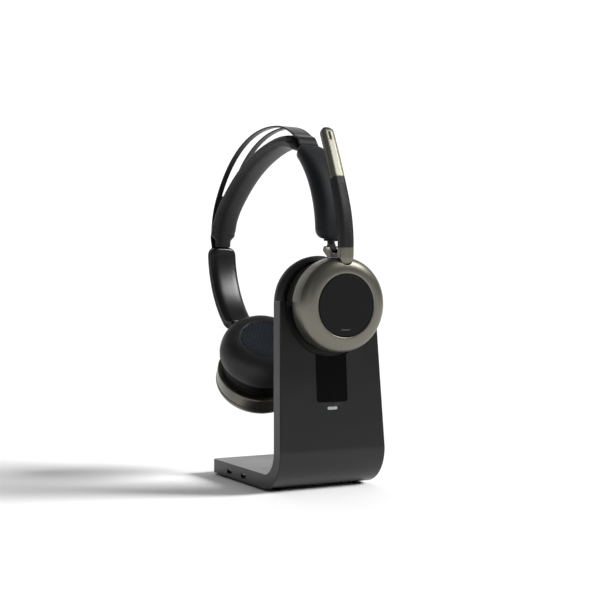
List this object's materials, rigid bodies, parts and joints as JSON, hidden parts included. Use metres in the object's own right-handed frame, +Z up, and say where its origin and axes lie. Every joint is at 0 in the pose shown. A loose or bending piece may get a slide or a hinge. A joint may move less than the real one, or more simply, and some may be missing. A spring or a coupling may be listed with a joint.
{
  "type": "wireless headset on a charging stand",
  "caption": "On-ear wireless headset with a microphone boom and split spring headband, docked by one ear cup in the notch of an L-shaped charging stand.",
  "frame": {"origin": "on the floor below the middle of the whole object", "axes": "+Z up, +X to the right across the stand, +Y from the stand's front to its back"},
  "size_m": [0.0946, 0.2176, 0.2942],
  "materials": {
    "satin_metal": "warm grey satin metal",
    "stand_plastic": "fine matt dark grey",
    "black_plastic": "matt black",
    "gloss_black": "gloss black",
    "arm_grey": "soft-touch blue grey",
    "pad_soft": "soft smooth dark grey",
    "leatherette": "dark grey leatherette",
    "ear_fabric": "dark blue lining",
    "grip_rubber": "matt black rubber",
    "spring_steel": "satin black",
    "steel": "plain steel",
    "gold": "gold plating",
    "board_green": "circuit board",
    "light_lens": "pale translucent lens",
    "foot_rubber": "matt black rubber"
  },
  "bodies": {
    "stand": {"stand_body": "stand_plastic", "cradle_liner": "black_plastic", "contact_block": "black_plastic", "front_panel": "gloss_black", "status_light": "light_lens", "base_cover": "stand_plastic", "ballast": "steel", "stand_board": "board_green", "usb_socket_1": "steel", "usb_socket_2": "steel", "foot_1": "foot_rubber", "foot_2": "foot_rubber", "foot_3": "foot_rubber", "foot_4": "foot_rubber"},
    "contact_pins": {"contact_pin_1": "gold", "contact_pin_2": "gold", "contact_pin_3": "gold", "contact_pin_4": "gold"},
    "near_cup": {"near_shell": "satin_metal", "near_fork": "satin_metal", "near_pin": "steel", "near_neck": "black_plastic", "near_contacts": "gold", "near_board": "board_green", "near_battery": "steel", "near_baffle": "black_plastic", "near_driver": "black_plastic", "near_magnet": "steel", "near_cushion": "leatherette", "near_ear_fabric": "ear_fabric"},
    "near_cap": {"near_cap": "black_plastic", "near_cap_light": "light_lens"},
    "boom": {"near_bezel": "satin_metal", "boom_root": "satin_metal", "boom_grip": "grip_rubber", "boom_tip": "satin_metal", "boom_mic": "black_plastic"},
    "near_knuckle": {"near_knuckle": "black_plastic"},
    "near_slider": {"near_slider": "black_plastic"},
    "arch": {"near_arm_outer": "arm_grey", "near_arm_inner": "gloss_black", "far_arm_outer": "arm_grey", "far_arm_inner": "gloss_black", "spring_band": "spring_steel", "crown_pad": "pad_soft"},
    "far_slider": {"far_slider": "black_plastic"},
    "far_knuckle": {"far_knuckle": "black_plastic"},
    "far_cup": {"far_shell": "satin_metal", "far_bezel": "satin_metal", "far_cap": "black_plastic", "far_fork": "satin_metal", "far_pin": "steel", "far_neck": "black_plastic", "far_board": "board_green", "far_battery": "steel", "far_baffle": "black_plastic", "far_driver": "black_plastic", "far_magnet": "steel", "far_cushion": "leatherette", "far_ear_fabric": "ear_fabric"}
  },
  "joints": [
    {"name": "contact_travel", "type": "slide", "parent": "stand", "child": "contact_pins", "axis": [0, -0.0523, 0.9986], "range_m": [-0.0008, 0], "stiffness_N_per_m": 500, "springref_m": 0.001},
    {"name": "headset_lift", "type": "slide", "parent": "stand", "child": "near_cup", "axis": [0, 0.0698, 0.9976], "range_m": [0, 0.1]},
    {"name": "cap_press", "type": "slide", "parent": "near_cup", "child": "near_cap", "axis": [0, 0.9986, 0.0523], "range_m": [0, 0.0006], "stiffness_N_per_m": 900, "springref_m": -0.001},
    {"name": "boom_turn", "type": "hinge", "parent": "near_cup", "child": "boom", "pos_m": [0, -0.1076, 0.1445], "axis": [0, -0.9986, -0.0523], "range_deg": [-120, 120]},
    {"name": "near_tilt", "type": "hinge", "parent": "near_cup", "child": "near_knuckle", "pos_m": [-0.00036, -0.08466, 0.18774], "axis": [1, 0.0003, 0.006], "range_deg": [0, 5]},
    {"name": "near_swivel", "type": "hinge", "parent": "near_knuckle", "child": "near_slider", "pos_m": [-0.00041, -0.08368, 0.19628], "axis": [-0.006, 0.1141, 0.9935], "range_deg": [-25, 25]},
    {"name": "near_extend", "type": "slide", "parent": "near_slider", "child": "arch", "axis": [-0.006, 0.1141, 0.9935], "range_m": [0, 0.018]},
    {"name": "far_extend", "type": "slide", "parent": "arch", "child": "far_slider", "axis": [0.0366, -0.6992, -0.714], "range_m": [0, 0.018]},
    {"name": "far_swivel", "type": "hinge", "parent": "far_slider", "child": "far_knuckle", "pos_m": [-0.00826, 0.06599, 0.1248], "axis": [-0.0366, 0.6992, 0.714], "range_deg": [-30, 30]},
    {"name": "far_tilt", "type": "hinge", "parent": "far_knuckle", "child": "far_cup", "pos_m": [-0.00794, 0.05998, 0.11866], "axis": [-0.9846, 0.0971, -0.1456], "range_deg": [-12, 8]}
  ]
}
